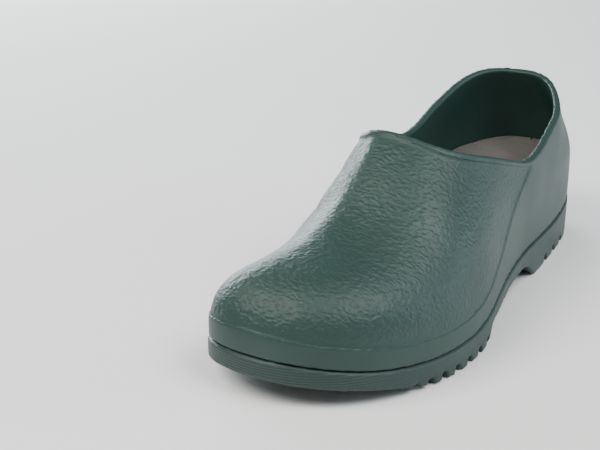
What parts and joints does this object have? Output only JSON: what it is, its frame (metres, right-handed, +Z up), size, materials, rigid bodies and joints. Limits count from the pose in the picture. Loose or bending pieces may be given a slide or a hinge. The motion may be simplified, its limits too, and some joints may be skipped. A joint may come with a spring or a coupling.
{
  "type": "clog",
  "caption": "Closed-heel moulded work clog for the left foot, with a grained vamp, a treaded outsole and a loose cork footbed that comes out heel first.",
  "frame": {"origin": "on the ground plane, under the middle of the clog's outline", "axes": "+Z up from the ground, toe towards -Y, the wearer's outer side towards +X"},
  "size_m": [0.1137, 0.2917, 0.1023],
  "materials": {
    "upper_polyurethane": "satin dark green moulded polyurethane, grained on the vamp and smooth elsewhere",
    "outsole_polyurethane": "satin dark green moulded polyurethane, a little duller than the upper",
    "cork_latex": "matte fine-grained cork and latex",
    "microfibre": "matte grey-beige brushed microfibre",
    "jute_cloth": "matte plain-weave jute"
  },
  "bodies": {
    "shell": {"upper": "upper_polyurethane", "outsole": "outsole_polyurethane"},
    "footbed": {"footbed_core": "cork_latex", "footbed_lining": "microfibre", "footbed_base_cloth": "jute_cloth"}
  },
  "joints": [
    {"name": "footbed_lift", "type": "hinge", "parent": "shell", "child": "footbed", "pos_m": [0, -0.146, 0], "axis": [1, 0, 0], "range_deg": [0, 3]}
  ]
}
